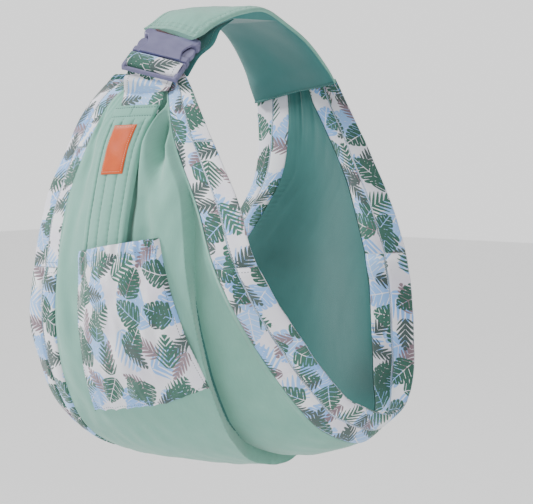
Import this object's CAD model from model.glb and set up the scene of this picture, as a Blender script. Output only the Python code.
"""Looks for a one-shoulder soft baby carrier: a fabric loop with printed rails, a shoulder pad,
a side-release buckle, an adjusting strap on a quilted yoke, a leather label and a pocket.
Metres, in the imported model's frame: +Z up, -Y the wearer's front, +X the open near side."""
import math
from functools import partial

import bpy
import numpy as np
from mathutils import Matrix, Vector


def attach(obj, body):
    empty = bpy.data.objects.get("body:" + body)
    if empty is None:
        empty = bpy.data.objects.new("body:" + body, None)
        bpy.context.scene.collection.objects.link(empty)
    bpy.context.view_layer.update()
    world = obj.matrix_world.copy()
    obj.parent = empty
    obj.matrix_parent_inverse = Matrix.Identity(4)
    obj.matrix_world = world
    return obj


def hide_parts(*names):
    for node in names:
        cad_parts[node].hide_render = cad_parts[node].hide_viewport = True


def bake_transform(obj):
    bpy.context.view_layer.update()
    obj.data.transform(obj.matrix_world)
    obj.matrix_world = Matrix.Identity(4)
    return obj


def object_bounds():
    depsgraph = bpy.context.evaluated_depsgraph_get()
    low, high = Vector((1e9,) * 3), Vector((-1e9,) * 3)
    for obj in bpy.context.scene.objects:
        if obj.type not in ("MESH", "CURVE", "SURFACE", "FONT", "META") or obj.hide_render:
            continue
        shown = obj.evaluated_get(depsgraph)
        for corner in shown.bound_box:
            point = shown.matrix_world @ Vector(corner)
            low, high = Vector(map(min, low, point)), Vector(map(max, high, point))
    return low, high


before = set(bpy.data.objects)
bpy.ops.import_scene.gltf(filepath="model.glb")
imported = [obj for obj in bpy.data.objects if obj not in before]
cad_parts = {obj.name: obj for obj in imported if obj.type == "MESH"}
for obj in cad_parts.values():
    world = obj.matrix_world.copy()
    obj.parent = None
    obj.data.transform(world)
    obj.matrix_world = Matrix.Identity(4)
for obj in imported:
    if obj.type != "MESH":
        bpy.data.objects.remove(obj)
CAD_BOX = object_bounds()

MM = 0.001
ORIGIN = np.array([2, 8, 536.5])  # shoulder rest above the pouch's lowest point, in mm

# ---- driving sizes, in mm, most of them the CAD model's own; the two cuts are in metres ----
RAIL_WIDTH = 50
RAIL_TOP_WIDTH = 27
FAR_RAIL_TOP_WIDTH = 44
FRONT_SEAM = 4.1
BACK_SEAM = 12.95
INNER_STRIP_TOP = 2.0
SLING_START = 0.16
SLING_END = 16.2
PAD_START = 0.24
PAD_END = 6.99
PAD_END_SEAMS = (7, 13)  # two rows of stitching, this far from the pad's buckle end
PAD_FOAM = 9
PAD_END_FOAM = 3
PAD_LIP = 9.5  # how far the pad's gathered end reaches over the socket
YOKE_TOP = 1.15
YOKE_BOTTOM = 3.77
YOKE_TOP_WIDTH = 66
YOKE_BOTTOM_WIDTH = 84
YOKE_MIDDLE_WIDTH = 75
YOKE_HEM_SEAMS = (2.5, 12.5)  # two rows of stitching, this far down from the yoke's top
YOKE_UNDER = 4.4
YOKE_THICKNESS = 3.2
LABEL_TOP = 1.6
LABEL_BOTTOM = 2.58
LABEL_WIDTH = 34
STRAP_WIDTH = 54
BUCKLE_CENTRE = np.array([15, -126, 491.5])
BUCKLE_HALF_WIDTH = 34
BUCKLE_TOP = -40
SOCKET_MOUTH = 6
SHOULDER_END = -26.4  # leaves the release arms room to swing in
BUCKLE_BOTTOM = 38
POCKET_FULLNESS = 12
POCKET_WIDTH = 175
POCKET_DEPTH = 185

# far edge x,y,z, near edge x,y,z, then the belly: far, middle, near
SLING_MM = [
    [-43, -142, 472, 39, -115, 475, -1, -6, -1],
    [-85, -145, 436, 77, -135, 442, 5, 16, 8],
    [-123, -143, 386, 107, -143, 397, 7, 28, 13],
    [-157, -146, 319, 151, -152, 334, 8, 32, 14],
    [-171, -150, 252, 175, -150, 268, 8, 34, 15],
    [-178, -152, 184, 182, -112, 212, 12, 42, 20],
    [-184, -128, 122, 183, -59, 155, 24, 54, 24],
    [-188, -90, 66, 183, -3, 106, 30, 57, 28],
    [-186, -30, 32, 182, 38, 86, 27, 51, 36],
    [-182, 40, 30, 182, 84, 73, 19, 46, 34],
    [-178, 105, 62, 180, 121, 81, 10, 36, 12],
    [-172, 140, 130, 178, 141, 122, 0, 24, -22],
    [-165, 148, 210, 172, 145, 203, -4, 16, -28],
    [-135, 146, 262, 163, 143, 263, -8, 8, -24],
    [-97, 142, 308, 147, 140, 311, -8, 6, -18],
    [-68, 139, 358, 124, 138, 362, -6, 4, -10],
    [-66, 138, 437, 66, 138, 460, 2, 3, 2],
    [-63, 125, 464, 65, 118, 487, 0, 4, 0],
]
PAD_MM = [
    [-66, 138, 437, 66, 138, 460, 0, 3, 0],
    [-63, 125, 464, 65, 118, 487, 0, 4, 0],
    [-60, 107, 494, 63, 85, 516, 0, 4, 0],
    [-57, 72, 530, 60, 48, 537, 0, 3, 0],
    [-54, 30, 551, 58, 7, 553, 0, 1, 0],
    [-50, -10, 555, 55, -31, 549, 0, 1, 0],
    [-44, -55, 550, 46, -60, 538, 0, 3, 0],
    [-36, -97, 533, 35, -88, 520, 0, 3, 0],
]
FLAP_MM = [
    [-47, -24, 544, 43, -30, 539, 0, 1, 0],
    [-47, -57, 535, 42, -53, 526.5, 0, 1, 0],
    [-48, -78, 518, 42, -68, 507, 0, 0, 0],
    [-46, -102, 497, 35, -86, 491, 0, 0, 0],
    [-38, -122, 466, 34, -103, 470, 0, -2, 0],
]
KNOTS = (0, 0.14, 0.5, 0.86, 1)  # where a section's belly is given, with zero at both edges
SECTION_STEPS = np.linspace(0, 1, 49)


def smooth(t):
    t = np.clip(t, 0, 1)
    return t * t * (3 - 2 * t)


def mix(a, b, t):
    return a + (b - a) * t


def nearest(values, wanted):
    """The index of the value closest to the one wanted."""
    return int(np.abs(values - wanted).argmin())


def unit(v):
    return v / np.linalg.norm(v, axis=-1, keepdims=True)


class Surface:
    """A sheet through a table of sections; u runs along it and w from far edge to near."""

    def __init__(self, table):
        self.table = np.array(table, float)
        self.last = len(table) - 1

    def row(self, u):
        u = np.clip(np.asarray(u, float), 0, self.last - 1e-9)
        i = u.astype(int)
        t = (u - i)[..., None]
        q = self.table
        q = np.vstack([2 * q[0] - q[1], q, 2 * q[-1] - q[-2]])
        a, b, c, d = (q[i + k] for k in range(4))
        cubic = (2 * a - 5 * b + 4 * c - d) * t * t + (3 * b - a - 3 * c + d) * t**3
        return 0.5 * (2 * b + (c - a) * t + cubic)

    def belly(self, values, w):
        zero = np.zeros(values.shape[:-1])
        v = [zero, values[..., 0], values[..., 1], values[..., 2], zero]
        slopes = []
        for i in range(5):
            lo, hi = max(i - 1, 0), min(i + 1, 4)
            slopes.append((v[hi] - v[lo]) / (KNOTS[hi] - KNOTS[lo]))
        out = np.zeros(np.broadcast(zero, w).shape)
        for k in range(4):
            h = KNOTS[k + 1] - KNOTS[k]
            t = (w - KNOTS[k]) / h
            here = (t >= 0) & ((t < 1) | (k == 3))
            curve = (2 * t**3 - 3 * t * t + 1) * v[k] + (3 * t * t - 2 * t**3) * v[k + 1]
            bend = (t**3 - 2 * t * t + t) * slopes[k] + (t**3 - t * t) * slopes[k + 1]
            out = np.where(here, curve + bend * h, out)
        return out

    def middle(self, u):
        return self.row(u)[..., :6].reshape(*np.shape(u), 2, 3).mean(-2)

    def outward(self, u):
        """The unit normal of the section at u, pointing away from the wearer."""
        u = np.asarray(u, float)
        along = self.middle(np.minimum(u + 0.05, self.last)) - self.middle(np.maximum(u - 0.05, 0))
        r = self.row(u)
        return unit(np.cross(unit(along), unit(r[..., 3:6] - r[..., :3])))

    def at(self, u, w, off=0.0):
        u, w, off = np.broadcast_arrays(np.asarray(u, float), w, off)
        r = self.row(u)
        far, near = r[..., :3], r[..., 3:6]
        lift = self.belly(r[..., 6:], w) + off
        return far + (near - far) * w[..., None] + self.outward(u) * lift[..., None]

    def spans(self, u):
        """Lengths across the sections at u, at even steps of w."""
        p = self.at(np.asarray(u, float)[:, None], SECTION_STEPS[None, :])
        step = np.linalg.norm(np.diff(p, axis=1), axis=-1)
        return np.hstack([np.zeros((len(p), 1)), np.cumsum(step, axis=1)])

    def width(self, u):
        return self.spans(np.atleast_1d(u))[:, -1]

    def inset(self, u, distance, near):
        """w a distance in from an edge, for each u; distance may have a column per point."""
        u = np.atleast_1d(u)
        sums = self.spans(u)
        columns = np.shape(distance)[-1] if np.ndim(distance) > 1 else 1
        distance = np.broadcast_to(distance, (len(u), columns))
        wanted = sums[:, -1:] - distance if near else distance
        return np.array([np.interp(row, s, SECTION_STEPS) for row, s in zip(wanted, sums)])

    def run(self, u, w=0.5):
        """Length along the sheet up to each u."""
        p = self.at(u, np.full(np.shape(u), w))
        return np.concatenate([[0], np.cumsum(np.linalg.norm(np.diff(p, axis=0), axis=1))])


def in_mm(points):
    """mm above the pouch's lowest point to metres in the model's frame."""
    return (points - ORIGIN) * MM


SLING = Surface(SLING_MM)
PAD = Surface(PAD_MM)
FLAP = Surface(FLAP_MM)

ACROSS = unit(np.array([0.881, 0.411, -0.235]))
HANG = np.array([0.223, -0.798, -0.56])  # the way the strap hangs, before it is squared up
DOWN = unit(HANG - ACROSS * (HANG @ ACROSS))
OUT = np.cross(DOWN, ACROSS)


def buckle_at(w, l, n):
    return BUCKLE_CENTRE + ACROSS * w + DOWN * l + OUT * n


# ---- materials ------------------------------------------------------------------------
def linear(r, g, b):
    """A display colour, 0 to 255, as the shader's linear colour."""
    channels = [c / 255 for c in (r, g, b)]
    return [c / 12.92 if c <= 0.04045 else ((c + 0.055) / 1.055) ** 2.4 for c in channels] + [1]


class Nodes:
    """Short forms for building a material's node tree."""

    def __init__(self, name, **shader):
        self.material = bpy.data.materials.new(name)
        self.material.use_nodes = True
        self.tree = self.material.node_tree
        self.shader = self.tree.nodes["Principled BSDF"]
        for key, value in shader.items():
            self.shader.inputs[key.replace("_", " ")].default_value = value

    def new(self, kind, **inputs):
        node = self.tree.nodes.new(kind)
        for key, value in inputs.items():
            self.feed(node.inputs[key.replace("_", " ")], value)
        return node

    def feed(self, socket, value):
        if isinstance(value, bpy.types.NodeSocket):
            self.tree.links.new(value, socket)
        else:
            socket.default_value = value

    def math(self, operation, *values):
        node = self.tree.nodes.new("ShaderNodeMath")
        node.operation = operation
        for socket, value in zip(node.inputs, values):
            self.feed(socket, value)
        return node.outputs[0]

    def uv(self):
        return self.tree.nodes.new("ShaderNodeUVMap").outputs[0]

    def object_point(self):
        return self.tree.nodes.new("ShaderNodeTexCoord").outputs["Object"]

    def noise(self, vector, scale, detail=2.0, rough=0.5):
        node = self.new("ShaderNodeTexNoise", Vector=vector, Scale=scale, Detail=detail, Roughness=rough)
        return node.outputs["Fac"]

    def blend(self, factor, a, b):
        node = self.tree.nodes.new("ShaderNodeMix")
        node.data_type = "RGBA"
        self.feed(node.inputs[0], factor)
        self.feed(node.inputs[6], a)
        self.feed(node.inputs[7], b)
        return node.outputs[2]

    def ramp(self, value, low, high, to_low=0.0, to_high=1.0):
        node = self.new("ShaderNodeMapRange", Value=value)
        for name, number in (("From Min", low), ("From Max", high), ("To Min", to_low), ("To Max", to_high)):
            node.inputs[name].default_value = number
        return node.outputs[0]

    def colour(self, socket_or_value):
        self.feed(self.shader.inputs["Base Color"], socket_or_value)

    def bump(self, height, strength, distance):
        node = self.new("ShaderNodeBump", Height=height, Strength=strength, Distance=distance)
        self.tree.links.new(node.outputs[0], self.shader.inputs["Normal"])

    def weave(self, uv, pitch):
        """Plain weave: threads over and under each other, 0 to 1."""
        parts = self.new("ShaderNodeSeparateXYZ", Vector=uv)
        x = self.math("MULTIPLY", parts.outputs[0], 2 * math.pi / pitch)
        y = self.math("MULTIPLY", parts.outputs[1], 2 * math.pi / pitch)
        product = self.math("MULTIPLY", self.math("SINE", x), self.math("SINE", y))
        return self.math("MULTIPLY_ADD", product, 0.5, 0.5)


def cotton(name, light, dark):
    """Soft woven cotton: faint slubs, mottling and a weave."""
    n = Nodes(name, Roughness=0.92, Sheen_Weight=0.35, Sheen_Roughness=0.5)
    uv = n.uv()
    point = n.object_point()
    cloud = n.ramp(n.noise(point, 22, 3, 0.6), 0.15, 0.85)
    tone = n.blend(cloud, linear(*dark), linear(*light))
    stretched = n.new("ShaderNodeMapping", Vector=uv, Scale=(900, 60, 1)).outputs[0]
    slub = n.ramp(n.noise(stretched, 1, 2, 0.6), 0.35, 0.75, 0.0, 0.35)
    tone = n.blend(slub, tone, linear(*[c * 0.93 for c in dark]))
    weave = n.weave(uv, 0.0011)
    tone = n.blend(n.math("MULTIPLY", weave, 0.1), tone, linear(*[min(255, c * 1.1) for c in light]))
    n.colour(tone)
    fuzz = n.noise(point, 2600, 2, 0.6)
    n.bump(n.math("ADD", weave, n.math("MULTIPLY", fuzz, 0.7)), 0.25, 0.00025)
    return n.material


LEAF_HALF = 0.42  # a leaf's half length as a share of its cell


class Print:
    """Layers of leaves scattered on white cotton, one leaf to a cell of each layer's grid."""

    def __init__(self, nodes, uv):
        self.n = nodes
        parts = nodes.new("ShaderNodeSeparateXYZ", Vector=uv)
        self.x, self.y = parts.outputs[0], parts.outputs[1]

    def turned(self, x, y, cos, sin):
        m = self.n.math
        along = m("SUBTRACT", m("MULTIPLY", x, cos), m("MULTIPLY", y, sin))
        return along, m("ADD", m("MULTIPLY", x, sin), m("MULTIPLY", y, cos))

    def leaf_space(self, cell, angle, seed):
        """Place across and along each turned leaf, then the two random numbers of its cell."""
        m = self.n.math
        x, y = self.turned(self.x, self.y, math.cos(angle), math.sin(angle))
        x = m("MULTIPLY_ADD", x, 1 / cell, seed * 0.37)
        y = m("MULTIPLY_ADD", y, 1 / cell, seed * 0.61)
        ix, iy = m("FLOOR", x), m("FLOOR", y)
        point = self.n.new("ShaderNodeCombineXYZ", X=m("ADD", ix, seed), Y=m("ADD", iy, seed * 2)).outputs[0]
        random = self.n.new("ShaderNodeTexWhiteNoise", Vector=point)
        split = self.n.new("ShaderNodeSeparateColor", Color=random.outputs["Color"])
        r, g, b = split.outputs
        x = m("SUBTRACT", m("SUBTRACT", x, ix), m("MULTIPLY_ADD", g, 0.16, 0.42))
        y = m("SUBTRACT", m("SUBTRACT", y, iy), m("MULTIPLY_ADD", b, 0.16, 0.42))
        turn = m("MULTIPLY_ADD", r, 2 * math.pi, -math.pi)
        x, y = self.turned(x, y, m("COSINE", turn), m("SINE", turn))
        return m("ABSOLUTE", x), y, random.outputs["Value"], b

    def stripes(self, across, along, slant, per_cell):
        """Distance from a leaflet's middle, 0 to 1, for leaflets that slant off the midrib."""
        m = self.n.math
        t = m("FRACT", m("MULTIPLY", m("SUBTRACT", along, m("MULTIPLY", across, slant)), per_cell))
        return m("MULTIPLY", m("ABSOLUTE", m("SUBTRACT", t, 0.5)), 2.0)

    def envelope(self, along, half_width, taper):
        m = self.n.math
        ratio = m("DIVIDE", along, LEAF_HALF)
        oval = m("SQRT", m("MAXIMUM", m("SUBTRACT", 1.0, m("MULTIPLY", ratio, ratio)), 0.0))
        return m("MULTIPLY", m("MULTIPLY", oval, half_width), m("MULTIPLY_ADD", ratio, -taper, 1.0))

    def frond(self, across, along, per_cell, width, slant, fullness):
        """A feathered leaf: pointed leaflets on a thin midrib."""
        m = self.n.math
        reach = m("DIVIDE", across, m("MAXIMUM", self.envelope(along, width, 0.3), 0.001))
        stripe = self.stripes(across, along, slant, per_cell)
        limit = m("SUBTRACT", fullness, m("MULTIPLY", m("MULTIPLY", reach, reach), 0.62))
        leaflet = m("MULTIPLY", m("LESS_THAN", stripe, limit), m("LESS_THAN", reach, 1.0))
        rib = m("MULTIPLY", m("LESS_THAN", across, 0.010), m("LESS_THAN", m("ABSOLUTE", along), LEAF_HALF))
        return m("MAXIMUM", leaflet, rib)

    def split_leaf(self, across, along, per_cell, width, cut):
        """A broad heart-shaped leaf with slits from its edge and pale veins."""
        m = self.n.math
        reach = m("DIVIDE", across, m("MAXIMUM", self.envelope(along, width, 0.42), 0.001))
        stripe = self.stripes(across, along, 0.55, per_cell)
        lobe = m("SUBTRACT", 1.0, m("MULTIPLY", m("MULTIPLY", stripe, stripe), 0.14))
        slit_edge = m("SUBTRACT", 0.72 + cut, m("MULTIPLY", reach, cut))
        whole = m("MULTIPLY", m("LESS_THAN", stripe, slit_edge), m("LESS_THAN", reach, lobe))
        side_vein = m("MAXIMUM", m("GREATER_THAN", stripe, 0.09), m("GREATER_THAN", reach, 0.72))
        return m("MULTIPLY", whole, m("MULTIPLY", side_vein, m("GREATER_THAN", across, 0.010)))

    def layer(self, ground, cell, angle, seed, kinds):
        """Adds a grid of leaves; kinds are (share of the cells, shape, darkest, lightest tint)."""
        m = self.n.math
        across, along, chance, tone = self.leaf_space(cell, angle, seed)
        used = 0.0
        for share, shape, dark, light in kinds:
            chosen = m("MULTIPLY", m("GREATER_THAN", chance, used), m("LESS_THAN", chance, used + share))
            tint = self.n.blend(tone, linear(*dark), linear(*light))
            ground = self.n.blend(m("MULTIPLY", shape(across, along), chosen), ground, tint)
            used += share
        return ground


def leaf_print(name):
    n = Nodes(name, Roughness=0.88, Sheen_Weight=0.25, Sheen_Roughness=0.5)
    uv = n.uv()
    leaves = Print(n, uv)
    white, lilac = (244, 245, 250), (232, 228, 242)
    ground = n.blend(n.ramp(n.noise(uv, 18, 2), 0.35, 0.65), linear(*white), linear(*lilac))
    blue = ((122, 178, 244), (158, 200, 248))
    mauve = ((118, 96, 108), (142, 120, 130))
    slate = ((44, 68, 66), (64, 86, 82))
    green = ((18, 82, 66), (38, 102, 84))
    split = partial(leaves.split_leaf, per_cell=6.5, width=0.33, cut=0.55)
    fern = partial(leaves.frond, per_cell=7.0, width=0.21, slant=1.25, fullness=0.9)
    palm = partial(leaves.frond, per_cell=7.5, width=0.34, slant=0.95, fullness=0.76)
    layers = [
        # cell in metres, angle, seed, then the share, shape and tints of each kind of leaf
        (0.058, 0.35, 1, [(0.55, split, *blue), (0.45, palm, *blue)]),
        (0.048, 1.25, 5, [(0.45, split, *blue)]),
        (0.046, 0.80, 3, [(0.45, fern, *mauve), (0.2, fern, *slate)]),
        (0.044, 1.15, 2, [(0.25, fern, *slate), (0.25, split, *green)]),
        (0.047, 0.15, 4, [(0.42, split, *green), (0.34, palm, *green), (0.24, fern, *slate)]),
    ]
    for layer in layers:
        ground = leaves.layer(ground, *layer)
    weave = n.weave(uv, 0.0010)
    tone = n.blend(n.math("MULTIPLY", weave, 0.06), ground, linear(255, 255, 255))
    n.colour(tone)
    n.bump(n.math("ADD", weave, n.math("MULTIPLY", n.noise(uv, 2400, 2), 0.7)), 0.22, 0.00025)
    return n.material


def moulded_plastic(name):
    n = Nodes(name, Roughness=0.38, Specular_IOR_Level=0.5)
    point = n.object_point()
    cloud = n.ramp(n.noise(point, 60, 3), 0.3, 0.7)
    n.colour(n.blend(cloud, linear(105, 103, 138), linear(119, 117, 152)))
    scuff = n.ramp(n.noise(point, 420, 4, 0.7), 0.45, 0.75, 0.34, 0.52)
    n.feed(n.shader.inputs["Roughness"], scuff)
    n.bump(n.noise(point, 3600, 2), 0.12, 0.0002)
    return n.material


def leather(name):
    n = Nodes(name, Roughness=0.5, Specular_IOR_Level=0.45)
    uv = n.uv()
    cloud = n.ramp(n.noise(uv, 70, 4, 0.6), 0.3, 0.7)
    tone = n.blend(cloud, linear(200, 74, 8), linear(212, 87, 14))
    cells = n.new("ShaderNodeTexVoronoi", Vector=uv, Scale=900)
    pores = n.ramp(cells.outputs["Distance"], 0.0, 0.6)
    n.colour(n.blend(n.math("MULTIPLY", n.math("SUBTRACT", 1.0, pores), 0.25), tone, linear(158, 60, 22)))
    n.bump(pores, 0.3, 0.0003)
    return n.material


def webbing(name, tone):
    n = Nodes(name, Roughness=0.8, Sheen_Weight=0.2)
    uv = n.uv()
    ribs = n.weave(uv, 0.0018)
    n.colour(n.blend(ribs, linear(*[c * 0.8 for c in tone]), linear(*tone)))
    n.bump(ribs, 0.5, 0.0005)
    return n.material


def thread(name, tone):
    n = Nodes(name, Roughness=0.75)
    point = n.object_point()
    twist = n.noise(point, 1800, 1)
    n.colour(n.blend(twist, linear(*[c * 0.86 for c in tone]), linear(*tone)))
    n.bump(twist, 0.3, 0.0001)
    return n.material


SAGE = cotton("sage_cotton", (130, 184, 168), (114, 168, 152))
TEAL = cotton("teal_lining", (50, 110, 107), (41, 99, 96))
PAD_TEAL = cotton("pad_lining", (66, 130, 128), (56, 119, 117))
LEAVES = leaf_print("leaf_print")
PLASTIC = moulded_plastic("buckle_plastic")
LEATHER = leather("label_leather")
WEBBING = webbing("socket_webbing", (76, 40, 50))
GREEN_THREAD = thread("green_thread", (118, 152, 142))
DARK_THREAD = thread("dark_thread", (74, 98, 104))
PALE_THREAD = thread("pale_thread", (238, 214, 196))


# ---- mesh building --------------------------------------------------------------------
def make_object(name, vertices, faces, material, uv=None):
    mesh = bpy.data.meshes.new(name)
    mesh.from_pydata(np.asarray(vertices).tolist(), [], faces)
    mesh.update()
    if uv is not None:
        layer = mesh.uv_layers.new(name="UVMap")
        index = np.empty(len(mesh.loops), int)
        mesh.loops.foreach_get("vertex_index", index)
        layer.data.foreach_set("uv", np.asarray(uv, float)[index].ravel())
    mesh.polygons.foreach_set("use_smooth", [True] * len(mesh.polygons))
    mesh.set_sharp_from_angle(angle=math.radians(50))
    obj = bpy.data.objects.new(name, mesh)
    bpy.context.scene.collection.objects.link(obj)
    mesh.materials.append(material)
    return obj


def loft(name, top, under, uv, material, lining_uv=None):
    """A closed sheet: rings of top points followed by under points, capped at both ends."""
    stations, m = top.shape[:2]
    ring = np.concatenate([top, under[:, ::-1]], axis=1)
    uv_ring = np.concatenate([uv, (uv if lining_uv is None else lining_uv)[:, ::-1]], axis=1)
    k = 2 * m
    faces = []
    for i in range(stations - 1):
        a = i * k
        for j in range(k):
            b = (j + 1) % k
            faces.append((a + j, a + k + j, a + k + b, a + b))
    end = (stations - 1) * k
    for j in range(m - 1):
        faces.append((j, j + 1, k - 2 - j, k - 1 - j))
        faces.append((end + j, end + k - 1 - j, end + k - 2 - j, end + j + 1))
    return make_object(name, ring.reshape(-1, 3), faces, material, uv_ring.reshape(-1, 2))


def dress(obj, nodes=(), body="sling"):
    """Gives a piece its body and the CAD nodes that it replaces."""
    if body is not None:
        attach(obj, body)
    if nodes:
        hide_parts(*nodes)
    return obj


def soft_piece(name, top, under, uv, material, nodes=(), lining_uv=None):
    """A closed piece of the sling between two grids of points in mm."""
    piece = loft(name, in_mm(top), in_mm(under), uv, material, lining_uv)
    return dress(piece, nodes)


def cloth_uv(x, y):
    """Texture coordinates in metres from the mm across and along a cloth."""
    return np.stack(np.broadcast_arrays(x, y), -1) * MM


def noise2(x, y, seed, terms=7):
    """A smooth fixed wave mixture, about -1 to 1; x and y in units of its size."""
    random = np.random.default_rng(seed)
    total = np.zeros(np.broadcast(x, y).shape)
    for _ in range(terms):
        a = random.uniform(0, 2 * math.pi)
        k = random.uniform(0.6, 1.6) * 2 * math.pi
        total += np.sin((x * math.cos(a) + y * math.sin(a)) * k + random.uniform(0, 6.28))
    return total / math.sqrt(terms) / 1.4


# ---- sling surface: folds of the main panel ----------------------------------------------
def rail_width(u, near):
    u = np.atleast_1d(u)
    at_top, share = (RAIL_TOP_WIDTH, 0.36) if near else (FAR_RAIL_TOP_WIDTH, 0.46)
    return np.minimum(mix(at_top, RAIL_WIDTH, smooth(u / 3)), share * SLING.width(u))


class Fold:
    """A ridge (height > 0) or valley (height < 0) along the panel: u, w, height, half width."""

    def __init__(self, *stations):
        self.u, self.w, self.height, self.size = np.array(stations, float).T

    def shape(self, u, w, width):
        h = np.interp(u, self.u, self.height, left=0, right=0)
        size = np.interp(u, self.u, self.size)
        x = (w - np.interp(u, self.u, self.w)) * width
        return h * np.exp(-((x / size) ** 2))


# u and w of the folds and the crease follow points picked on the photo's folds with a
# scratch program, then rounded and moved by hand; heights and sizes were set by eye.
FOLDS = [
    # the dark valley along the yoke's near edge
    Fold((0.2, 0.88, -3, 4), (0.9, 0.80, -10, 6), (1.3, 0.742, -17, 6), (1.7, 0.682, -19, 6),
         (2.1, 0.640, -15, 5), (2.6, 0.604, -9, 5), (3.3, 0.566, -8, 5), (3.9, 0.54, -3, 5),
         (4.3, 0.53, 0, 5)),
    # the ridge beside it
    Fold((0.3, 0.82, 2, 4), (0.9, 0.835, 8, 6), (1.4, 0.775, 14, 8), (2.0, 0.705, 12, 12),
         (2.7, 0.655, 7, 17), (3.5, 0.64, 0, 22)),
    # the wedge that opens between the two ridges
    Fold((0.7, 0.86, 0, 3), (1.1, 0.835, -11, 5), (1.6, 0.79, -19, 6), (2.1, 0.75, -18, 7),
         (2.5, 0.72, -7, 10), (3.0, 0.70, 0, 12)),
    # the second ridge
    Fold((0.8, 0.87, 0, 4), (1.4, 0.85, 7, 7), (2.0, 0.815, 9, 12), (2.8, 0.77, 8, 20), (4.0, 0.71, 4, 28),
         (5.2, 0.66, 0, 32)),
    # where the cloth turns under the near rail
    Fold((0.5, 0.90, 0, 4), (1.2, 0.885, -6, 5), (2.2, 0.868, -8, 5), (3.2, 0.86, -7, 5), (4.2, 0.855, -3, 5),
         (5.0, 0.85, 0, 5)),
    # the soft hollow beside the lower yoke
    Fold((2.5, 0.66, 0, 10), (3.0, 0.645, -6, 11), (3.6, 0.63, -6, 12), (4.3, 0.62, 0, 14)),
    # the far side of the yoke
    Fold((0.3, 0.22, 2, 5), (1.2, 0.26, -4, 6), (2.4, 0.27, -4, 8), (3.6, 0.25, 0, 10)),
    Fold((2.0, 0.20, 0, 12), (3.4, 0.19, 4, 12), (5.2, 0.17, 4, 14), (7.0, 0.2, 0, 18)),
]
CREASE = np.array([
    # u, w, depth, how far the cloth takes to rise again
    (1.4, 0.86, 0, 10), (2.0, 0.845, 6, 10), (2.7, 0.825, 11, 12), (3.5, 0.80, 14, 15),
    (4.5, 0.765, 17, 24), (5.2, 0.735, 19, 30), (6.0, 0.705, 22, 34), (6.8, 0.675, 22, 36),
    (7.6, 0.645, 18, 34), (8.8, 0.625, 10, 30), (10.2, 0.61, 0, 30),
])
CREASE_STEP = 4  # the fold's lip turns under over this much cloth


def crease_parts(u, w, width):
    """The lobe's lip, the share past it, the depth and the distance past the fold, in mm."""
    at_w, depth, rise = (np.interp(u, CREASE[:, 0], CREASE[:, k], left=0, right=0) for k in (1, 2, 3))
    across = (w - at_w) * width
    past = smooth(across / CREASE_STEP + 0.5)
    return past, depth, np.maximum(rise, 1), across


def crease_shift(u, w, width):
    """How far the cloth past the fold slides back beneath the lobe, in mm."""
    past, depth, rise, across = crease_parts(u, w, width)
    return -0.75 * depth * past * np.exp(-np.maximum(across, 0) / 26)


def under_yoke(u, w):
    """1 where the yoke and the strap lie on the panel, 0 away from them."""
    side = (w - yoke_w(u, 0)) / (yoke_w(u, 1) - yoke_w(u, 0))
    along = smooth((u - 0.3) / 0.3) * (1 - smooth((u - 3.7) / 0.5))
    past = np.maximum(side - YOKE_NEAR_SIDE + 0.04, YOKE_FAR_SIDE + 0.04 - side)
    return (1 - smooth(past / 0.12)) * along


def panel_relief(u, w):
    """How far the main panel stands off its broad shape, in mm; u is a column, w a grid."""
    width = SLING.width(u[:, 0])[:, None]
    x = w * width
    run = SLING.run(u[:, 0])[:, None]
    relief = sum(f.shape(u, w, width) for f in FOLDS)
    past, depth, rise, across = crease_parts(u, w, width)
    lip = 0.35 * depth * np.exp(-np.abs(across) / 18) * (1 - past)
    relief = relief + lip - depth * np.exp(-np.maximum(across, 0) / rise) * past
    gather = np.exp(-np.maximum(run - 4, 0) / 26)
    relief = relief + 1.3 * gather * np.sin(2 * math.pi * x / 8.5 + 1.3 * np.sin(run / 9))
    back = np.exp(-np.maximum(run[-1] - run - 4, 0) / 46)
    pleats = np.sin(2 * math.pi * x / 21 + 0.8 * np.sin(run / 30)) + 0.5 * np.sin(2 * math.pi * x / 9.7)
    relief = relief + 1.9 * back * pleats
    calm = mix(1, 0.3, smooth((u - 9) / 3))
    relief = relief + calm * (1.6 * noise2(x / 95, run / 120, 3) + 0.6 * noise2(x / 34, run / 60, 4))
    held_down = np.where(relief > 0, 1, 0.25) * under_yoke(u, w)
    return relief * (1 - held_down)


def lowest_nearby(relief, reach):
    """Each point's lowest neighbour across the panel within reach columns, then smoothed."""
    padded = np.pad(relief, ((0, 0), (reach, reach)), mode="edge")
    shifts = np.stack([padded[:, k:k + relief.shape[1]] for k in range(2 * reach + 1)])
    low = np.pad(shifts.min(0), ((0, 0), (2, 2)), mode="edge")
    return np.stack([low[:, k:k + relief.shape[1]] for k in range(5)]).mean(0)


def panel_edges(u):
    far, near = (SLING.inset(u, rail_width(u, side)[:, None] + 0.3, side)[:, 0] for side in (False, True))
    return far, near


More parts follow.
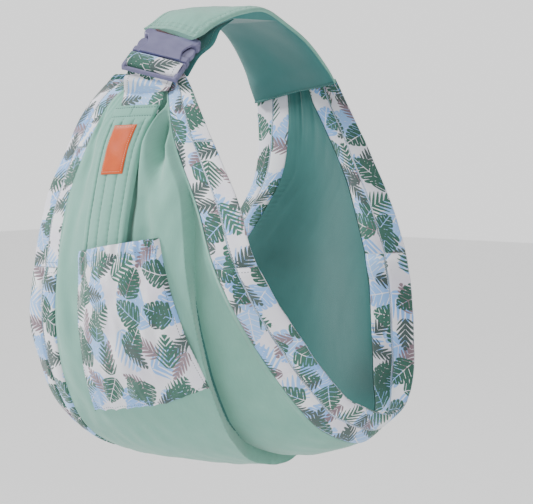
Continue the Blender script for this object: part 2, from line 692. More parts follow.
def build_panel():
    """The outer cloth and its lining, folded together."""
    u = np.linspace(SLING_START, SLING_END, 400)
    far, near = panel_edges(u)
    column = u[:, None]
    width = SLING.width(u)[:, None]
    run = SLING.run(u)[:, None]
    bodies = [
        ("panel_outer", "main_panel", 1.6, 0.4, SAGE, 190),
        ("panel_inner", "panel_lining", -0.6, -1.8, TEAL, 120),
    ]
    for name, node, high, low, material, columns in bodies:
        w = mix(far[:, None], near[:, None], np.linspace(0, 1, columns)[None, :])
        from_edge = np.minimum(w - far[:, None], near[:, None] - w) * width
        relief = panel_relief(column, w) * smooth(from_edge / 9)
        waves = np.sin(2 * math.pi * run / 6.3 + 2 * noise2(run / 40, from_edge * 0, 9))
        relief = relief + 0.5 * np.exp(-from_edge / 5) * waves * smooth(from_edge / 1.5)
        uv = cloth_uv(w * width, run)
        if node == "main_panel":
            held = smooth((near[:, None] - w) * width / 45)
            w = w + crease_shift(column, w, width) * held / width
        else:
            relief = np.minimum(lowest_nearby(relief, 6), relief * smooth(from_edge / 9))
        top = SLING.at(column, w, high + relief)
        under = SLING.at(column, w, low + relief)
        piece = soft_piece(name, top, under, uv, material, [node])


# ---- rails ------------------------------------------------------------------------------
def rail_profile(t, thickness, seam):
    """Half thickness across a rail: round edges and a sewn valley along its middle."""
    body = (1 - np.abs(2 * t - 1) ** 5) ** (1 / 2.2)
    valley = np.exp(-(((t - 0.5) * RAIL_WIDTH / 2.6) ** 2))
    return 0.5 * thickness * body * (1 - seam * valley)


def build_rail(side, place, start, end, thickness):
    """One length of a rail; returns its stations, the w of its columns and their height."""
    near = side == "near"
    count = int((end - start) * 26)
    u = np.linspace(start, end, count)
    wide = rail_width(u, near)[:, None]
    t = (1 - np.cos(np.linspace(0, math.pi, 30))) / 2
    t = mix(np.linspace(0, 1, 30), t, 0.6)[None, :]
    w = SLING.inset(u, wide * (1 - t if near else t), near)
    edge_run = SLING.run(u, 0.98 if near else 0.02)[:, None]
    ends = np.minimum(edge_run, edge_run[-1] - edge_run)
    taper = 0.45 + 0.55 * smooth(ends / 9)
    seed = 11 if near else 17
    plump = 1 + 0.10 * noise2(t * 2, edge_run / 45, seed)
    half = rail_profile(t, thickness, 0.62) * taper * plump
    by_seam = np.exp(-np.abs(t - 0.5) * RAIL_WIDTH / 5) + np.exp(-np.minimum(t, 1 - t) * RAIL_WIDTH / 4)
    pucker = np.sin(2 * math.pi * edge_run / 5.6 + 3 * t) * smooth(np.minimum(t, 1 - t) / 0.06)
    half = half + 0.22 * by_seam * pucker
    half = np.maximum(half, 0.25)
    sway = 0.8 * noise2(t * 0.7, edge_run / 70, seed + 1) * smooth(ends / 20)
    top = SLING.at(u[:, None], w, half + sway)
    under = SLING.at(u[:, None], w, -half + sway)
    strip = np.where(t > 0.5, np.where(u[:, None] > INNER_STRIP_TOP, 0.137, 0.29), 0.0)
    base = 0.4 if near else 1.1
    uv = np.stack([t * wide * MM + strip + base, edge_run * MM + 0 * t + start * 0.07 + strip], -1)
    back = uv + np.array([0.31, 0.0])
    node = f"{side}_rail_{place}"
    piece = soft_piece(f"{node}_cover", top, under, uv, LEAVES, [node], back)
    return u, w, half + sway


# ---- stitching --------------------------------------------------------------------------
STITCHES = {}  # the stitches of each group, gathered row by row
RAIL_MIDDLE = 15  # the column of a rail's grid that its middle seam follows
SEAM_ALLOWANCE = 0.09  # from a joint between rail pieces to the stitching, in stations
CROSS_SEAMS = {
    "front": [FRONT_SEAM - SEAM_ALLOWANCE],
    "seat": [FRONT_SEAM + SEAM_ALLOWANCE, BACK_SEAM - SEAM_ALLOWANCE],
    "back": [BACK_SEAM + SEAM_ALLOWANCE],
}


def between(run, rows, at):
    """The row of a table at a distance along a line."""
    return np.array([np.interp(at, run, rows[:, k]) for k in range(3)])


def stitch_row(group, points, normals, pitch=3.6, length=2.4, radius=0.32, lift=0.12):
    """Lays stitches along a line of points in mm; a group becomes one piece."""
    steps = np.linalg.norm(np.diff(points, axis=0), axis=1)
    run = np.concatenate([[0], np.cumsum(steps)])
    places = np.arange(pitch / 2, run[-1] - pitch / 3, pitch)
    for s in places:
        a, b = (between(run, points, q) for q in (s - length / 2, s + length / 2))
        normal = between(run, normals, s)
        STITCHES.setdefault(group, []).append((a + normal * lift, b + normal * lift, normal, radius))


def stitch_across(group, line, normal, **how):
    """A row across a section, where one normal serves the whole line."""
    stitch_row(group, line, np.repeat(normal[None, :], len(line), axis=0), **how)


def build_stitches(group, material, body="sling"):
    """One short rounded thread for each stitch, its ends dipping into the cloth."""
    vertices, faces = [], []
    ring = 6
    for a, b, normal, radius in STITCHES[group]:
        along = unit(b - a)
        side = unit(np.cross(along, normal))
        up = np.cross(side, along)
        base = len(vertices)
        for share, size, dip in ((0.0, 0.45, 0.35), (0.3, 1.0, 0.0), (0.7, 1.0, 0.0), (1.0, 0.45, 0.35)):
            centre = mix(a, b, share) - up * dip
            for k in range(ring):
                q = 2 * math.pi * k / ring
                vertices.append(centre + (side * math.cos(q) + up * math.sin(q)) * radius * size)
        for i in range(3):
            for k in range(ring):
                p, q = base + i * ring + k, base + i * ring + (k + 1) % ring
                faces.append((p, q, q + ring, p + ring))
        faces.append(tuple(base + k for k in reversed(range(ring))))
        faces.append(tuple(base + 3 * ring + k for k in range(ring)))
    piece = make_object(f"{group}_stitching", in_mm(np.array(vertices)), faces, material)
    return dress(piece, body=body)


def build_rails():
    for side in ("near", "far"):
        pieces = [
            ("front", SLING_START, FRONT_SEAM - 0.004, 3.6),
            ("seat", FRONT_SEAM + 0.004, BACK_SEAM - 0.004, 9.5),
            ("back", BACK_SEAM + 0.004, SLING_END, 3.6),
        ]
        for place, start, end, thickness in pieces:
            u, w, height = build_rail(side, place, start, end, thickness)
            middle = SLING.at(u, w[:, RAIL_MIDDLE], height[:, RAIL_MIDDLE])
            stitch_row("rail", middle, SLING.outward(u))
            if place == "front":
                i = nearest(u, INNER_STRIP_TOP)
                inner = slice(RAIL_MIDDLE, RAIL_MIDDLE + 13)
                line = SLING.at(u[i], w[i, inner], height[i, inner])
                stitch_across("rail", line, SLING.outward(u[i]), pitch=2.6, length=2)
            for station in CROSS_SEAMS[place]:
                i = nearest(u, station)
                line = SLING.at(u[i], w[i], height[i])
                stitch_across("rail", line[2:-2], SLING.outward(u[i]))


# ---- shoulder pad -----------------------------------------------------------------------
def foam_thickness(u):
    """The foam thins towards both ends of the pad."""
    ends = np.minimum(u / 1.3, (PAD.last - u) / 0.7 + 0.3)
    return mix(PAD_END_FOAM, PAD_FOAM, smooth(ends))


def build_pad():
    """The padded shoulder, its underside and the hems at its back end."""
    u = np.linspace(PAD_START, PAD_END, 150)[:, None]
    t = (1 - np.cos(np.linspace(0, math.pi, 60))) / 2
    w = mix(np.linspace(0, 1, 60), t, 0.7)[None, :] + 0 * u
    width = PAD.width(u[:, 0])[:, None]
    x = w * width
    run = PAD.run(u[:, 0])[:, None]
    to_end = run[-1] - run
    half = (1.7 + foam_thickness(u)) / 2
    round_side = np.maximum(1 - np.abs(2 * w - 1) ** 7, 0) ** (1 / 2.3)
    from_near = (1 - w) * width
    gathers = np.sin(2 * math.pi * x / 7.9 + 2.2 * np.sin(x / 13) + 0.5 * np.sin(run / 7))
    pucker = np.exp(-np.abs(to_end - 9) / 6) * (0.55 * gathers - 0.3)
    ruffle = np.exp(-from_near / 9) * smooth((u - 3.4) / 1.2) * np.sin(2 * math.pi * run / 8.1 + x / 9)
    soft = 0.7 * noise2(x / 60, run / 80, 21) + 0.25 * noise2(x / 22, run / 26, 22)
    seam = -0.9 * np.exp(-(((np.minimum(w, 1 - w) * width - 7) / 1.6) ** 2))
    for from_end in PAD_END_SEAMS:
        seam = seam - 0.7 * np.exp(-(((to_end - from_end) / 1.3) ** 2))
    relief = (pucker + 0.8 * ruffle + soft + seam) * smooth(np.minimum(w, 1 - w) / 0.05)
    reach = PAD_LIP * DOWN * smooth((u - 6.2) / 0.79)[..., None]
    top = PAD.at(u, w, -half + half * round_side + relief) + reach
    under = PAD.at(u, w, -half - half * round_side + 0.1) + reach
    uv = cloth_uv(x, run)
    pad = soft_piece("shoulder_pad", top, under, uv, SAGE, ["shoulder_pad_cover", "shoulder_pad_foam"])
    inner = mix(0.012, 0.988, w)
    round_inner = np.maximum(1 - np.abs(2 * inner - 1) ** 7, 0) ** (1 / 2.3)
    depth = half + half * round_inner - 0.4
    high = PAD.at(u, inner, -depth)
    low = PAD.at(u, inner, -depth - 1.2 + 0.2 * noise2(x / 40, run / 50, 23))
    low[..., 2] = np.minimum(low[..., 2], ORIGIN[2])  # flat where the shoulder carries it
    lining = soft_piece("shoulder_pad_underside", high, low, uv, PAD_TEAL, ["shoulder_pad_lining"])
    normals = PAD.outward(u[:, 0])
    for column in (8, 51):
        stitch_row("pad", top[:, column], normals)
    for from_end in PAD_END_SEAMS:
        i = nearest(to_end[:, 0], from_end)
        stitch_across("pad", top[i, 4:-4], normals[i], pitch=3.2, length=1.9)
    build_pad_hems()


def hem_rows(w, outside, lift):
    """Rows from the rails' last few millimetres up onto the pad, at a lift off both."""
    below = np.linspace(SLING_END - 0.07, SLING_END, 5)[:, None]
    above = np.linspace(PAD_START + 0.02, PAD_START + 0.1, 6)[:, None]
    side = 1 if outside else -1
    on_rails = SLING.at(below, w, side * (2.0 + lift[:5]))
    depth = 0.4 if outside else foam_thickness(above) + 2.4
    on_pad = PAD.at(above, w, side * (depth + lift[5:]))
    return np.concatenate([on_rails, on_pad])


def build_pad_hems():
    """Folded strips that close the pad's back end over the rails, outside and inside."""
    w = np.linspace(0.02, 0.98, 60)[None, :]
    rise = np.linspace(0, 1, 11)[:, None]
    edge = smooth(np.minimum(rise, 1 - rise) * 6)
    plump = 0.4 * edge * (1 + 0.3 * np.sin(w * 58 + 5 * rise))
    x = w * PAD.width([0.1])[0] + 0 * rise
    uv = cloth_uv(x, rise * 9)
    for name, outside, material in (("pad_back_hem", True, SAGE), ("pad_back_hem_inside", False, PAD_TEAL)):
        outer = hem_rows(w, outside, 0.7 + plump)
        inner = hem_rows(w, outside, 0 * plump - 0.1)
        top, under = (outer, inner) if outside else (inner, outer)
        hem = soft_piece(name, top, under, uv, material, ["pad_hem"] if outside else [])
        stitch_across("pad", outer[8], PAD.outward(0.2) * (1 if outside else -1))


def build_flap():
    """The guard that carries the pad's lining on beneath the buckle."""
    u = np.linspace(0.0, FLAP.last, 70)[:, None]
    w = np.linspace(0, 1, 44)[None, :] + 0 * u
    width = FLAP.width(u[:, 0])[:, None]
    x = w * width
    run = FLAP.run(u[:, 0])[:, None]
    inner = np.minimum(np.minimum(w, 1 - w) * width, run[-1] - run)
    half = 1.5 * np.maximum(1 - np.exp(-inner / 1.2), 0.18)
    wave = 0.9 * noise2(x / 50, run / 45, 31) * smooth(run / 20)
    top, under = FLAP.at(u, w, wave + half - 1.3), FLAP.at(u, w, wave - half - 1.3)
    flap = soft_piece("guard_flap", top, under, cloth_uv(x, run), PAD_TEAL, ["buckle_flap"])
    normals = FLAP.outward(u[:, 0])
    for column in (3, 40):
        stitch_row("pad", top[:, column], normals)
        stitch_row("pad", under[:, column], -normals)


# ---- yoke, label and pocket -------------------------------------------------------------
YOKE_FAR_SIDE = -1.0
YOKE_NEAR_SIDE = 0.86
CHANNELS = (0.0, 0.13, 0.38, 0.64, 0.87, 1.0)


def yoke_w(u, side):
    """w of a line down the yoke, where side is -1 at its far edge and 1 at its near edge."""
    k = np.clip((u - YOKE_TOP) / 2.7, 0, 1)
    centre = mix(0.6, 0.445, k) - 0.01 * np.sin(math.pi * k)
    half = mix(YOKE_TOP_WIDTH, YOKE_BOTTOM_WIDTH, k) / 2
    width = SLING.width(np.ravel(u)).reshape(np.shape(u))
    return centre + side * half / width


def build_yoke():
    """The quilted yoke: padded channels between sewn lines, under a doubled hem."""
    stations = np.linspace(YOKE_TOP, YOKE_BOTTOM, 150)
    u = stations[:, None]
    t = [np.linspace(a, b, 15) for a, b in zip(CHANNELS, CHANNELS[1:])]
    t = np.unique(np.concatenate(t))[None, :]
    w = yoke_w(u, mix(YOKE_FAR_SIDE, YOKE_NEAR_SIDE, t))
    run = SLING.run(stations)[:, None]
    puff = np.zeros(t.shape)
    for a, b in zip(CHANNELS, CHANNELS[1:]):
        c = (t - a) / (b - a)
        puff = np.where((c >= 0) & (c <= 1), np.maximum(1 - np.abs(2 * c - 1) ** 2.6, 0) ** 0.7, puff)
    begun = smooth((run - 13) / 9)
    quilt = 2.1 * puff * begun + 0.6 * (1 - begun)
    seam_gap = np.min([np.abs(t - c) for c in CHANNELS[1:-1]], axis=0) * YOKE_MIDDLE_WIDTH
    quilt = quilt + 0.28 * np.exp(-seam_gap / 3) * np.sin(2 * math.pi * run / 6.5 + 9 * t) * begun
    side_round = np.maximum(1 - np.abs(2 * t - 1) ** 24, 0) ** 0.5
    drop = (YOKE_THICKNESS - 0.4) * (1 - side_round)
    for row_at in YOKE_HEM_SEAMS:
        quilt = quilt - 0.5 * np.exp(-(((run - row_at) / 1.2) ** 2))
    quilt = quilt - 0.7 * np.exp(-(((t - 0.5) * YOKE_TOP_WIDTH / 1.1) ** 2)) * (run < 13)
    top = SLING.at(u, w, YOKE_UNDER + YOKE_THICKNESS + quilt - drop)
    under = SLING.at(u, w, YOKE_UNDER + 0 * w)
    uv = cloth_uv(t * YOKE_MIDDLE_WIDTH, run)
    yoke = soft_piece("yoke_quilting", top, under, uv, SAGE, ["quilted_yoke"])
    normals = SLING.outward(stations)
    for c in CHANNELS[1:-1]:
        column = nearest(t[0], c)
        first = nearest(run[:, 0], 14)
        stitch_row("yoke", top[first:, column], normals[first:], lift=0.2)
    for row_at in YOKE_HEM_SEAMS:
        i = nearest(run[:, 0], row_at)
        stitch_across("yoke_top", top[i], normals[i], pitch=3.4, length=2.3, radius=0.38, lift=0.25)
    middle = nearest(t[0], 0.5)
    last = nearest(run[:, 0], YOKE_HEM_SEAMS[1])
    stitch_row("yoke_top", top[:last, middle], normals[:last], pitch=2.2, length=1.8, lift=0.2)


def build_label():
    """The blank leather label, pressed in along its stitching."""
    stations = np.linspace(LABEL_TOP, LABEL_BOTTOM, 56)
    u = stations[:, None]
    t = np.linspace(0, 1, 34)[None, :]
    half = LABEL_WIDTH / YOKE_TOP_WIDTH
    w = yoke_w(u, (mix(-half, half, t) - 0.04) * 0.92)
    run = SLING.run(stations)[:, None]
    edge = np.minimum(np.minimum(t, 1 - t) * LABEL_WIDTH, np.minimum(run, run[-1] - run))
    corner = np.maximum(1 - np.exp(-edge / 0.7), 0.1)
    pressed = -0.35 * np.exp(-(((edge - 2.2) / 0.7) ** 2))
    wavy = 0.35 * noise2(t * 1.2, run / 30, 41)
    under_off = YOKE_UNDER + YOKE_THICKNESS + 2.25
    top = SLING.at(u, w, under_off + 0.5 + 1.0 * corner + pressed + wavy)
    under = SLING.at(u, w, under_off + wavy)
    uv = cloth_uv(t * LABEL_WIDTH, run)
    label = soft_piece("label_patch", top, under, uv, LEATHER, ["leather_label"])
    normals = SLING.outward(stations)
    fine = {"pitch": 2.4, "length": 1.6, "radius": 0.24, "lift": 0.1}
    for column in (2, 31):
        stitch_row("label", top[2:-2, column], normals[2:-2], **fine)
    for i in (2, len(stations) - 3):
        stitch_across("label", top[i, 2:-2], normals[i], **fine)


def pocket_uw(s, t):
    """u and w under the pocket: s runs down from its mouth, t from its far side to its near one."""
    u = mix(mix(3.8, 6.45, s), mix(3.6, 5.95, s), t)
    return u, mix(mix(0.3, 0.225, s), 0.7, t)


def pocket_lift(s, t):
    """How far the loose mouth stands off, easing to nothing at the sewn sides and bottom."""
    side = np.sin(math.pi * np.clip(t, 0, 1)) ** 0.4
    return side * np.cos(math.pi / 2 * s) ** 0.8 * (YOKE_THICKNESS + YOKE_UNDER + POCKET_FULLNESS - 4.6)


def build_pocket():
    s = np.linspace(0, 1, 110)[:, None]
    t = np.linspace(0, 1, 110)[None, :]
    u, w = pocket_uw(s, t)
    x, y = t * POCKET_WIDTH + 0 * s, s * POCKET_DEPTH + 0 * t
    edge = np.minimum(np.minimum(t, 1 - t) * POCKET_WIDTH, (1 - s) * POCKET_DEPTH)
    relief = pocket_relief(u, w)
    soft = 1.6 * noise2(x / 70, y / 60, 51) * smooth(edge / 25)
    soft = soft + 0.5 * noise2(x / 24, y / 30, 52) * smooth(edge / 9)
    gather = 1.4 * np.exp(-y / 22) * np.sin(2 * math.pi * x / 19 + 1.2 * np.sin(y / 15)) * smooth(edge / 12)
    pucker = 0.35 * np.exp(-edge / 4) * np.sin(2 * math.pi * (x + y) / 6.1)
    lift = 2.9 + relief + pocket_lift(s, t) + soft + gather + pucker
    hem = 0.9 * smooth(1 - np.abs(y - 6) / 7)
    top = SLING.at(u, w, lift + 1.3 + hem)
    under = SLING.at(u, w, lift)
    uv = np.stack([x * MM + 2.3, 0.9 - y * MM], -1)
    pocket = soft_piece("pocket_cloth", top, under, uv, LEAVES, ["pocket_panel", "pocket_hem"])
    normals = SLING.outward(u[:, 55])
    for column in (2, 107):
        stitch_row("pocket", top[:, column], normals)
    for i in (7, 107):
        stitch_row("pocket", top[i], SLING.outward(u[i]))


def pocket_relief(u, w):
    """The panel's own relief below the pocket, sampled on the pocket's grid."""
    lines = np.linspace(3.4, 6.7, 90)
    grid_w = np.linspace(0.18, 0.74, 90)
    table = panel_relief(lines[:, None], np.repeat(grid_w[None, :], 90, axis=0))
    i = np.clip((u - lines[0]) / (lines[-1] - lines[0]) * 89, 0, 88.999)
    j = np.clip((w - grid_w[0]) / (grid_w[-1] - grid_w[0]) * 89, 0, 88.999)
    a, b = i.astype(int), j.astype(int)
    fi, fj = i - a, j - b
    upper = mix(table[a, b], table[a, b + 1], fj)
    return mix(upper, mix(table[a + 1, b], table[a + 1, b + 1], fj), fi)


# ---- straps -----------------------------------------------------------------------------
def strap_row(l, n, half=STRAP_WIDTH / 2):
    return [*buckle_at(-half, l, n), *buckle_at(half, l, n), 0, 0, 0]


def sewn_row(u, off):
    half = (STRAP_WIDTH + 3) / YOKE_TOP_WIDTH
    u = np.array([u])
    far, near, middle = (SLING.at(u, yoke_w(u, side), off)[0] for side in (-half, half, 0))
    rise = float(np.linalg.norm(middle - (far + near) / 2))
    return [*far, *near, 0.48 * rise, rise, 0.48 * rise]


def ribbon(name, table, thickness, material, rows_per_station=8, columns=24):
    """A strap through a table of sections; also returns its normals and its top points."""
    band = Surface(table)
    u = np.linspace(0, band.last, band.last * rows_per_station + 1)[:, None]
    w = np.linspace(0, 1, columns)[None, :] + 0 * u
    width = band.width(u[:, 0])[:, None]
    run = band.run(u[:, 0])[:, None]
    edge = np.minimum(w, 1 - w) * width
    half = thickness / 2 * np.maximum(1 - np.exp(-edge / 0.5), 0.25)
    half = half + 0.12 * np.exp(-(((edge - 3.4) / 1.2) ** 2))
    uv = np.stack([w * width * MM + 3.1, (run + 0 * w) * MM], -1)
    top, under = band.at(u, w, half), band.at(u, w, -half)
    return loft(name, in_mm(top), in_mm(under), uv, material), band.outward(u[:, 0]), top


def build_straps():
    """The printed strap round the plug's bar, and the webbing that holds the socket."""
    lift = 3.2
    over_frame = STRAP_WIDTH / 2 + 0.5
    path = [
        sewn_row(1.36, lift),
        sewn_row(1.18, lift),
        sewn_row(1.0, lift + 0.4),
        sewn_row(0.82, lift + 1.6),
        strap_row(45, -9.6),
        strap_row(38.5, -7.4),
        strap_row(34.4, -6.2),
        strap_row(32.6, -2.2, over_frame),
        strap_row(30.0, 3.4, over_frame + 3),
        strap_row(23, 6.6, over_frame + 4),
        strap_row(14.2, 6.6, over_frame + 4),
        strap_row(10.2, 4.8, over_frame + 3),
        strap_row(9.4, -0.4),
        strap_row(11.6, -5.4),
        strap_row(18, -8.2),
        strap_row(28, -9.2),
        strap_row(36, -9.6),
    ]
    strap, normals, top = ribbon("adjusting_strap", path[::-1], 1.4, LEAVES)
    dress(strap, ["adjust_strap", "adjust_strap_wrap"], body=None)
    for column in (2, 21):
        stitch_row("strap", top[:, column], normals, pitch=3.2, length=2.2)
    start, end = sewn_row(0.95, 0)[:3], strap_row(36, -7)[:3]
    start = in_mm(np.array(start) + ACROSS * STRAP_WIDTH / 2)
    end = in_mm(np.array(end) + ACROSS * STRAP_WIDTH / 2)
    stitching = build_stitches("strap", DARK_THREAD, body=None)
    for piece in (strap, stitching):
        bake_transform(piece)
    top_edge = BUCKLE_TOP
    loop = [
        strap_row(top_edge - 13, 0.2, 25),
        strap_row(top_edge - 6, 2.4, 25),
        strap_row(top_edge - 1, 3.5, 25),
        strap_row(top_edge + 3.6, 3.4, 25),
        strap_row(top_edge + 5.7, 2.4, 25),
        strap_row(top_edge + 6.3, 0, 25),
        strap_row(top_edge + 5.7, -2.4, 25),
        strap_row(top_edge + 3.6, -3.4, 25),
        strap_row(top_edge - 1, -3.5, 25),
        strap_row(top_edge - 6, -3.4, 25),
        strap_row(top_edge - 13, -3.2, 25),
    ]
    piece, _, _ = ribbon("webbing_loop", loop, 1.3, WEBBING, columns=16)
    dress(piece, ["socket_webbing"])


def build_gather():
    """The binding that closes the gathered top of the panel."""
    rise = np.linspace(0, 1, 9)[:, None]
    u = 0.2 * rise
    w = np.linspace(0.01, 0.99, 60)[None, :] + 0 * u
    run = SLING.run(u[:, 0])[:, None]
    x = w * SLING.width(u[:, 0])[:, None]
    half = 2.6 * np.maximum(1 - np.abs(2 * rise - 1) ** 3, 0.12)
    half = half + 0.5 * np.sin(2 * math.pi * x / 6.5)
    half = half * smooth(np.minimum(w, 1 - w) / 0.03 + 0.25)
    top, under = SLING.at(u, w, half), SLING.at(u, w, -half)
    cap = soft_piece("gather_cap", top, under, cloth_uv(x, run), LEAVES, ["gather_binding"])


# ---- buckle -----------------------------------------------------------------------------
PLACE = Matrix((np.stack([ACROSS, DOWN, OUT], axis=1) * MM).tolist()).to_4x4()
BUCKLE_SPOT = in_mm(BUCKLE_CENTRE)


def rounded(w0, w1, l0, l1, r, steps=6):
    """Outline of a rounded rectangle, in (across, down)."""
    points = []
    corners = [(w1 - r, l1 - r, 0), (w0 + r, l1 - r, 90), (w0 + r, l0 + r, 180), (w1 - r, l0 + r, 270)]
    for x, y, start in corners:
        for i in range(steps + 1):
            q = math.radians(start + 90 * i / steps)
            points.append((x + r * math.cos(q), y + r * math.sin(q)))
    return points


def prism(outline, n0, n1, draft=0.0):
    """Closed solid over an outline; draft pulls its two faces in, for a crowned edge."""
    area = sum(a[0] * b[1] - b[0] * a[1] for a, b in zip(outline, outline[1:] + outline[:1]))
    ring = outline if area > 0 else outline[::-1]
    centre = np.mean(ring, axis=0)
    k = len(ring)
    vertices = []
    levels = [(n0, draft), (n0 + 1.2 * (draft > 0), 0), (n1 - 1.2 * (draft > 0), 0), (n1, draft)]
    levels = levels if draft else [(n0, 0), (n1, 0)]
    for n, pull in levels:
        for p in ring:
            q = np.array(p) - centre
            q = q * (1 - pull / max(np.linalg.norm(q), 1e-6))
            vertices.append((*(centre + q), n))
    faces = [tuple(range(k))[::-1], tuple(range((len(levels) - 1) * k, len(levels) * k))]
    for i in range(len(levels) - 1):
        for j in range(k):
            b = (j + 1) % k
            faces.append((i * k + j, i * k + b, (i + 1) * k + b, (i + 1) * k + j))
    return vertices, faces


def moulded(name, solids, voxel, body, nodes, smoothing=5):
    """Fuses solids into one moulded piece with soft edges."""
    vertices, faces = [], []
    for v, f in solids:
        base = len(vertices)
        vertices += v
        faces += [tuple(base + i for i in face) for face in f]
    obj = make_object(name, vertices, faces, PLASTIC)
    for step in ("fuse", "even"):
        modifier = obj.modifiers.new(step, "REMESH")
        modifier.mode = "VOXEL"
        modifier.voxel_size = voxel
    soften = obj.modifiers.new("soften", "SMOOTH")
    soften.factor = 0.5
    soften.iterations = smoothing
    graph = bpy.context.evaluated_depsgraph_get()
    mesh = bpy.data.meshes.new_from_object(obj.evaluated_get(graph))
    obj.modifiers.clear()
    obj.data = mesh
    mesh.transform(Matrix.Translation(Vector(BUCKLE_SPOT)) @ PLACE)
    if PLACE.determinant() < 0:
        mesh.flip_normals()
    mesh.polygons.foreach_set("use_smooth", [True] * len(mesh.polygons))
    return dress(obj, nodes, body)


def waist(top_half, waist_half, mouth_half, l0, l1, steps=18):
    """Outline of the socket's plates: widest by the webbing, drawn in above the mouth."""
    right = []
    for i in range(steps + 1):
        k = i / steps
        narrow = float(smooth(k / 0.62))
        flare = float(smooth((k - 0.62) / 0.38))
        right.append((mix(mix(top_half, waist_half, narrow), mouth_half, flare), mix(l0, l1, k)))
    return right + [(-x, l) for x, l in reversed(right)]


def build_socket():
    hw, top, mouth = BUCKLE_HALF_WIDTH, BUCKLE_TOP, SOCKET_MOUTH
    solids = [
        prism(waist(30, 22, 25, top + 4, mouth), 3.4, 6.6, 0.8),
        prism(waist(30, 22, 25, top + 4, mouth), -6.6, -3.4, 0.8),
        prism(rounded(-hw, -20, top, SHOULDER_END, 5.5), -6.4, 6.4, 1.6),
        prism(rounded(20, hw, top, SHOULDER_END, 5.5), -6.4, 6.4, 1.6),
        prism(rounded(23, hw - 0.4, -3.0, mouth, 1.6), -5.2, 5.2, 1.0),
        prism(rounded(-hw + 0.4, -23, -3.0, mouth, 1.6), -5.2, 5.2, 1.0),
        prism(rounded(-28, 28, top, top + 4, 1.6), -2.2, 2.2, 0.5),
        prism(rounded(-30, 30, top + 9, top + 13, 1), -5, 5),
    ]
    moulded("socket_body", solids, 0.42, "sling", ["buckle_socket"])


def arm_outline(side):
    half = [(17.6, 2.4), (21.4, 2.4), (23.4, -2.6), (27, -4.2), (31.2, -4.8), (33.4, -7.5), (34.2, -14),
            (33.2, -20.6), (31.0, -23.6), (27.4, -24.0), (24.4, -21), (22.0, -14), (19.6, -6)]
    return [(side * w, l) for w, l in half]


def build_plug():
    hw, top, low = BUCKLE_HALF_WIDTH - 0.4, SOCKET_MOUTH + 0.6, BUCKLE_BOTTOM
    solids = [
        prism(rounded(29.4, hw, top, low, 2.0), -3.4, 4.2, 1.2),
        prism(rounded(-hw, -29.4, top, low, 2.0), -3.4, 4.2, 1.2),
        prism(rounded(-hw + 0.6, hw - 0.6, low - 3.6, low, 1.7), -2.4, 2.2, 0.8),
        prism(rounded(-hw + 1, hw - 1, top, top + 2.2, 1), -2.6, 2.6, 0.4),
        prism(rounded(-29, 29, top + 6.4, top + 10.8, 1.8), -2.2, 2.2, 0.7),
        prism(rounded(-26.5, 26.5, 3.4, top + 1, 0.8), -2.9, 2.9),
        prism(rounded(-4.5, 4.5, -22, 5, 1.5), -1.9, 1.9),
    ]
    moulded("plug_frame", solids, 0.4, "plug", ["buckle_plug"])
    for side, where in ((1, "near"), (-1, "far")):
        name = f"release_prong_{where}"
        arm = [prism(arm_outline(side), -3.0, 3.0, 0.8)]
        moulded(name, arm, 0.3, f"arm_{where}", [f"release_arm_{where}"], smoothing=4)


# ---- stage, light and camera ------------------------------------------------------------
FLOOR_DROP = 0.16  # the carrier hangs this far above the floor


def sun_light(name, spot, aim, softness, strength):
    light = bpy.data.lights.new(name, "SUN")
    light.angle = math.radians(softness)
    light.energy = strength
    obj = bpy.data.objects.new(name, light)
    obj.rotation_euler = (Vector(aim) - Vector(spot)).to_track_quat("-Z", "Y").to_euler()
    bpy.context.scene.collection.objects.link(obj)


def area_light(name, spot, aim, size, watts):
    light = bpy.data.lights.new(name, "AREA")
    light.shape = "DISK"
    light.size = size
    light.energy = watts
    obj = bpy.data.objects.new(name, light)
    obj.location = spot
    obj.rotation_euler = (Vector(aim) - Vector(spot)).to_track_quat("-Z", "Y").to_euler()
    bpy.context.scene.collection.objects.link(obj)


def light_world(tree):
    """A pale studio wall all round at eye height, dimmer overhead and below."""
    place = tree.nodes.new("ShaderNodeTexCoord")
    parts = tree.nodes.new("ShaderNodeSeparateXYZ")
    height = tree.nodes.new("ShaderNodeMath")
    height.operation = "ABSOLUTE"
    fade = tree.nodes.new("ShaderNodeMapRange")
    fade.interpolation_type = "SMOOTHSTEP"
    for name, value in (("From Min", 0.09), ("From Max", 0.17), ("To Min", 1.4), ("To Max", 0.3)):
        fade.inputs[name].default_value = value
    background = tree.nodes["Background"]
    background.inputs["Color"].default_value = (1, 1, 1, 1)
    tree.links.new(place.outputs["Generated"], parts.inputs[0])
    tree.links.new(parts.outputs[2], height.inputs[0])
    tree.links.new(height.outputs[0], fade.inputs["Value"])
    tree.links.new(fade.outputs[0], background.inputs["Strength"])


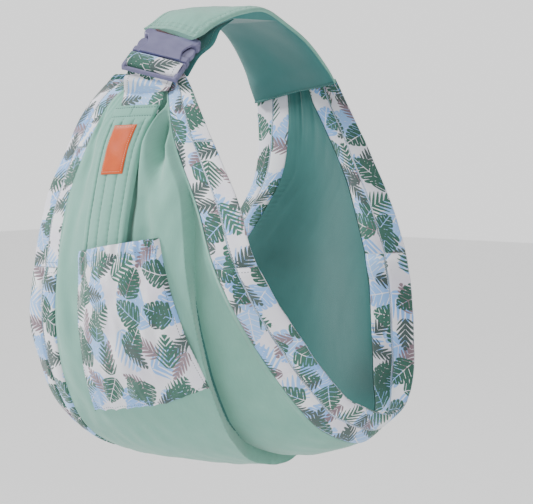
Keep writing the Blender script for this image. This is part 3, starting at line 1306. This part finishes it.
def build_stage():
    low = CAD_BOX[0][2] - FLOOR_DROP
    size = 6.0
    corners = [(-size, -size, low), (size, -size, low), (size, size, low), (-size, size, low)]
    n = Nodes("studio_floor", Roughness=0.9)
    n.colour(n.blend(n.noise(n.object_point(), 3, 2), linear(250, 250, 250), linear(252, 252, 252)))
    floor = make_object("studio_floor", corners, [(0, 1, 2, 3)], n.material)
    world = bpy.data.worlds.new("studio")
    world.use_nodes = True
    bpy.context.scene.world = world
    light_world(world.node_tree)
    middle = (0, 0, -0.25)
    sun_light("key", (-1.7, -1.6, 1.7), middle, 14, 4.3)
    area_light("fill", (2.0, -1.5, 0.6), middle, 1.6, 10)
    area_light("top", (0.1, -0.2, 1.9), middle, 1.2, 12)


CAMERA_AZIMUTH = math.radians(40)
CAMERA_ELEVATION = math.radians(4)
CAMERA_DISTANCE = 2.2
CAMERA_LENS = 123.8  # gives 1.2 mm to a pixel of the photo at the camera's distance
LOOP_MIDDLE = np.array([0, 0, 282])
AIM_RIGHT = 0.0498  # from the loop's middle, in metres, after where the loop stands in the photo
AIM_DOWN = 0.0204


def build_camera():
    """The photograph's view: the loop stands a little left of the middle and above it."""
    a, e = CAMERA_AZIMUTH, CAMERA_ELEVATION
    back = Vector((math.sin(a) * math.cos(e), -math.cos(a) * math.cos(e), math.sin(e)))
    right = Vector((math.cos(a), math.sin(a), 0))
    up = back.cross(right)
    aim = Vector(in_mm(LOOP_MIDDLE)) + right * AIM_RIGHT - up * AIM_DOWN
    camera = bpy.data.cameras.new("camera")
    camera.lens = CAMERA_LENS
    camera.sensor_width = 36
    obj = bpy.data.objects.new("camera", camera)
    obj.matrix_world = Matrix.Translation(aim + back * CAMERA_DISTANCE) @ Matrix(
        (right, up, back)).transposed().to_4x4()
    bpy.context.scene.collection.objects.link(obj)
    bpy.context.scene.camera = obj


build_panel()
build_rails()
build_gather()
build_pad()
build_flap()
build_yoke()
build_label()
build_pocket()
build_straps()
build_socket()
build_plug()
build_stitches("rail", DARK_THREAD)
build_stitches("pad", GREEN_THREAD)
build_stitches("yoke", GREEN_THREAD)
build_stitches("yoke_top", DARK_THREAD)
build_stitches("label", PALE_THREAD)
build_stitches("pocket", DARK_THREAD)
build_stage()
build_camera()

bpy.context.view_layer.update()
